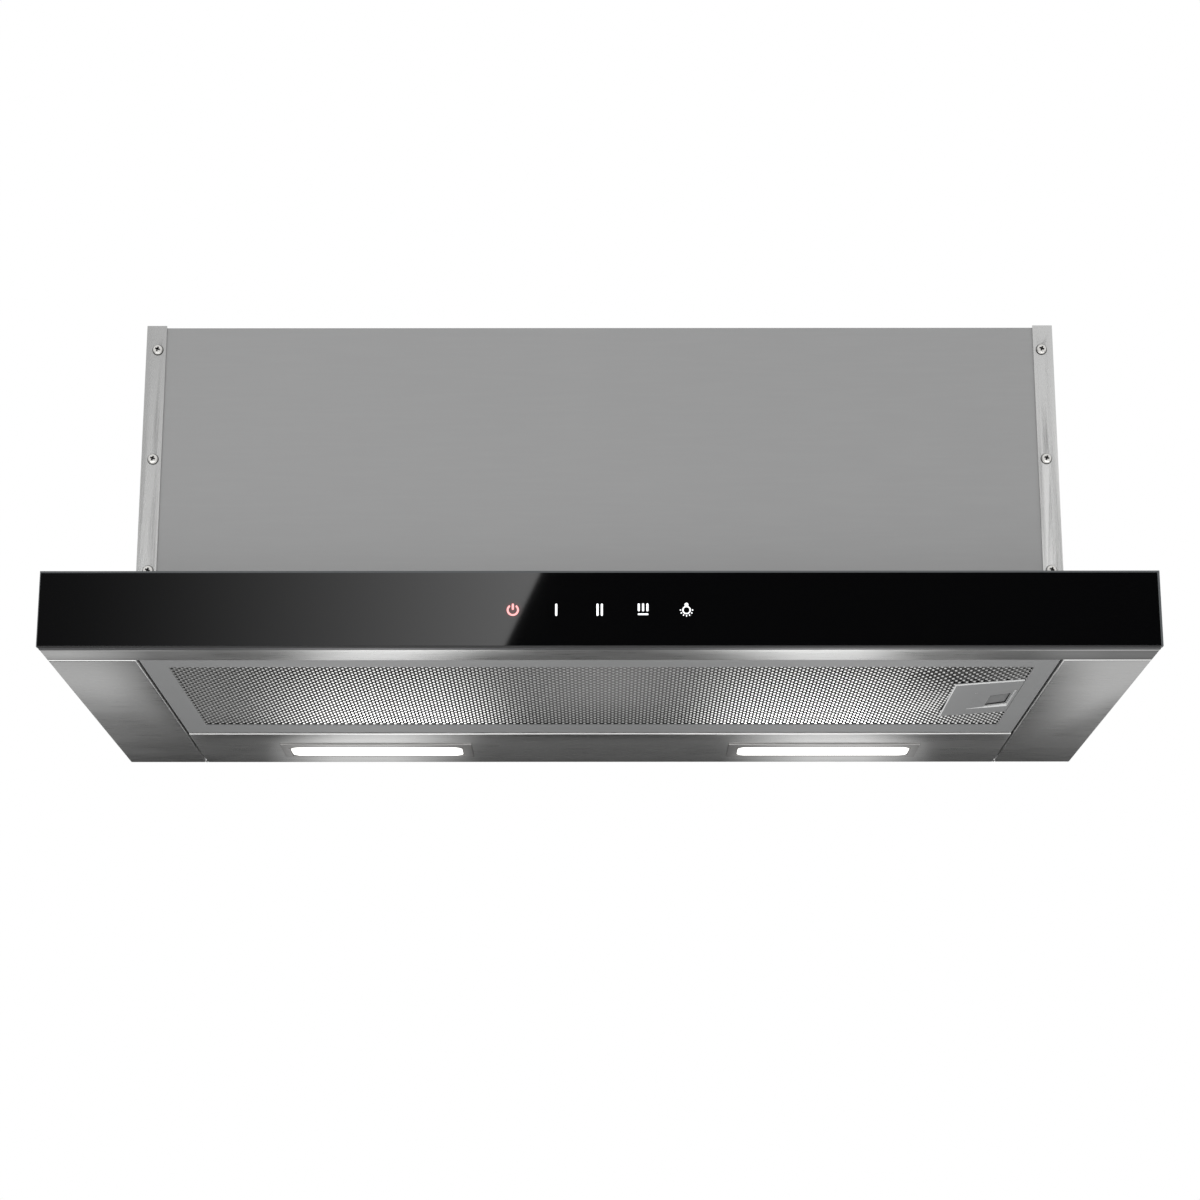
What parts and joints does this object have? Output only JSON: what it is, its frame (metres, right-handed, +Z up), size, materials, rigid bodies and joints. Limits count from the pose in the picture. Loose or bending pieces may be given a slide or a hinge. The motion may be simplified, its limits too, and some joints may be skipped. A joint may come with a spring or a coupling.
{
  "type": "pull-out range hood",
  "caption": "Slim cooker hood for a wall cabinet: steel body, black glass front on a pull-out drawer, mesh grease filter, two lamps underneath.",
  "frame": {"origin": "on the wall plane, on the centre line, at the height of the cabinet's underside (the tops of the side wings)", "axes": "+X to the right as the cook sees it, +Y to the wall, +Z up"},
  "size_m": [0.598, 0.3, 0.2179],
  "materials": {
    "brushed_steel": "brushed stainless steel, grain along the width",
    "body_steel": "fine brushed grey steel sheet, satin",
    "zinc_steel": "bright galvanised sheet steel",
    "lamp_trim": "satin steel lamp surround",
    "lamp_lens": "frosted lens, lit from behind",
    "black_glass": "glossy black tempered glass",
    "filter_aluminium": "matt rolled aluminium",
    "mesh_aluminium": "bright expanded aluminium mesh",
    "black_plastic": "matt black moulding",
    "grey_plastic": "matt grey moulding",
    "circuit_board": "green circuit board",
    "white_plastic": "off-white moulding",
    "fastener_steel": "bright plated steel",
    "motor_steel": "plated motor casing"
  },
  "bodies": {
    "hood": {"front_panel": "body_steel", "back_panel": "zinc_steel", "top_panel": "zinc_steel", "side_panel_left": "zinc_steel", "side_panel_right": "zinc_steel", "wing_left": "brushed_steel", "wing_right": "brushed_steel", "panel_screw_left_1": "fastener_steel", "panel_screw_left_2": "fastener_steel", "panel_screw_left_3": "fastener_steel", "panel_screw_right_1": "fastener_steel", "panel_screw_right_2": "fastener_steel", "panel_screw_right_3": "fastener_steel", "runner_outer_left": "zinc_steel", "runner_outer_right": "zinc_steel", "lamp_panel": "brushed_steel", "lamp_bezel_left": "lamp_trim", "lamp_bezel_right": "lamp_trim", "lamp_lens_left": "lamp_lens", "lamp_lens_right": "lamp_lens", "led_board_left": "white_plastic", "led_board_right": "white_plastic", "intake_plate": "zinc_steel", "rear_filter_frame": "filter_aluminium", "rear_filter_layers": "mesh_aluminium", "scroll_wrap": "zinc_steel", "scroll_cheek_left": "zinc_steel", "scroll_cheek_right": "zinc_steel", "motor": "motor_steel", "motor_bracket": "zinc_steel", "transition_duct": "zinc_steel", "outlet_collar": "black_plastic", "damper_pin": "fastener_steel", "control_box": "grey_plastic", "control_board": "circuit_board", "run_capacitor": "white_plastic", "cable_gland": "grey_plastic"},
    "fan": {"fan_wheel": "black_plastic", "fan_shaft": "fastener_steel"},
    "damper_front": {"damper_flap_front": "black_plastic"},
    "damper_rear": {"damper_flap_rear": "black_plastic"},
    "runner_left": {"runner_middle_left": "zinc_steel"},
    "runner_right": {"runner_middle_right": "zinc_steel"},
    "rear_latch": {"rear_filter_latch": "black_plastic"},
    "drawer": {"glass_panel": "black_glass", "glass_backing": "black_plastic", "front_channel": "brushed_steel", "touch_board": "circuit_board", "drawer_side_left": "zinc_steel", "drawer_side_right": "zinc_steel", "runner_inner_left": "zinc_steel", "runner_inner_right": "zinc_steel", "filter_seat": "zinc_steel", "visor_top": "brushed_steel", "drawer_rear_tie": "zinc_steel"},
    "filter": {"filter_frame": "filter_aluminium", "filter_mesh": "mesh_aluminium", "filter_layers": "mesh_aluminium", "latch_plate": "filter_aluminium"},
    "filter_latch": {"latch_slider": "filter_aluminium"}
  },
  "joints": [
    {"name": "drawer_slide", "type": "slide", "parent": "hood", "child": "drawer", "axis": [0, -1, 0], "range_m": [0, 0.19]},
    {"name": "runner_left_slide", "type": "slide", "parent": "hood", "child": "runner_left", "axis": [0, -1, 0], "range_m": [0, 0.095]},
    {"name": "runner_right_slide", "type": "slide", "parent": "hood", "child": "runner_right", "axis": [0, -1, 0], "range_m": [0, 0.095]},
    {"name": "filter_tilt", "type": "hinge", "parent": "drawer", "child": "filter", "pos_m": [-0.25, -0.1756, -0.0387], "axis": [0, 1, 0], "range_deg": [0, 35]},
    {"name": "filter_latch_slide", "type": "slide", "parent": "filter", "child": "filter_latch", "axis": [-1, 0, 0], "range_m": [-0.003, 0.005]},
    {"name": "rear_latch_slide", "type": "slide", "parent": "hood", "child": "rear_latch", "axis": [-1, 0, 0], "range_m": [0, 0.005], "stiffness_N_per_m": 150},
    {"name": "fan_spin", "type": "hinge", "parent": "hood", "child": "fan", "pos_m": [0, -0.132, 0.077], "axis": [1, 0, 0], "continuous": true},
    {"name": "damper_front_swing", "type": "hinge", "parent": "hood", "child": "damper_front", "pos_m": [0, -0.094, 0.1572], "axis": [-1, 0, 0], "range_deg": [0, 70]},
    {"name": "damper_rear_swing", "type": "hinge", "parent": "hood", "child": "damper_rear", "pos_m": [0, -0.094, 0.1572], "axis": [1, 0, 0], "range_deg": [0, 70]}
  ],
  "couplings": [
    {"joint": "runner_left_slide", "follows": "drawer_slide", "ratio": 0.5},
    {"joint": "runner_right_slide", "follows": "drawer_slide", "ratio": 0.5}
  ]
}
